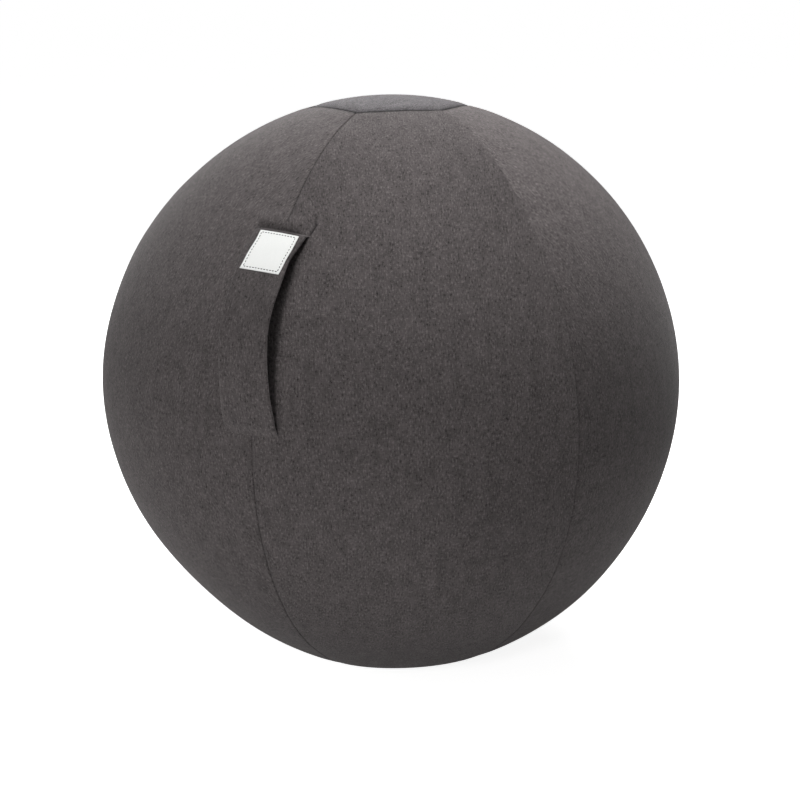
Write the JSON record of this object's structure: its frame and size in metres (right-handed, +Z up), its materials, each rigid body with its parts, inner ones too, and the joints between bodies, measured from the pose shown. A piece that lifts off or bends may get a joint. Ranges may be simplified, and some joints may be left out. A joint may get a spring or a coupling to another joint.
{
  "type": "sitting ball",
  "caption": "Inflated sitting ball in a zipped cloth cover of gores and end panels, with an arched carry strap sewn over one seam and a blank label.",
  "frame": {"origin": "middle of the flat patch that the ball rests on", "axes": "+Z up through the middle of the ball and of both end panels; the carry strap is on the -Y side and the zip on the +Y side; +X is to the right when facing the strap"},
  "size_m": [0.6498, 0.6673, 0.6467],
  "materials": {
    "cover_cloth": "woven melange cloth, dark warm grey",
    "top_cloth": "woven melange cloth, dark warm grey",
    "base_cloth": "woven melange cloth, dark warm grey",
    "strap_cloth": "woven melange cloth, sewn double",
    "webbing": "ribbed black webbing",
    "label_cloth": "smooth off-white woven label",
    "zip_tape": "black knitted tape",
    "zip_teeth": "moulded dark plastic",
    "zip_metal": "dull nickel-plated casting",
    "bladder_skin": "soft grey vinyl",
    "valve_white": "white moulded plastic"
  },
  "bodies": {
    "root": {"gore_1": "cover_cloth", "gore_2": "cover_cloth", "gore_3": "cover_cloth", "gore_4": "cover_cloth", "gore_5": "cover_cloth", "gore_6": "cover_cloth", "top_panel": "top_cloth", "bottom_panel": "base_cloth", "strap_upper_leg": "strap_cloth", "strap_lower_leg": "strap_cloth", "upper_leg_core": "webbing", "lower_leg_core": "webbing", "upper_hem": "strap_cloth", "lower_hem": "strap_cloth", "label": "label_cloth", "zip_tape_left": "zip_tape", "zip_tape_right": "zip_tape", "zip_teeth_left": "zip_teeth", "zip_teeth_right": "zip_teeth", "zip_top_stops": "zip_metal", "zip_bottom_stop": "zip_metal", "bladder": "bladder_skin", "valve_seat": "bladder_skin", "valve_plug": "valve_white"},
    "grip": {"strap_grip": "strap_cloth", "grip_core": "webbing"},
    "slider": {"zip_slider": "zip_metal"},
    "pull": {"zip_pull": "zip_metal"}
  },
  "joints": [
    {"name": "strap_lift", "type": "slide", "parent": "root", "child": "grip", "axis": [0, -0.9229, 0.3851], "range_m": [-0.02, 0.006]},
    {"name": "zip_travel", "type": "hinge", "parent": "root", "child": "slider", "pos_m": [0, 0, 0.32173], "axis": [1, 0, 0], "range_deg": [-56.35, 0]},
    {"name": "pull_swing", "type": "hinge", "parent": "slider", "child": "pull", "pos_m": [0, 0.32727, 0.29699], "axis": [1, 0, 0], "range_deg": [-4, 170]}
  ]
}
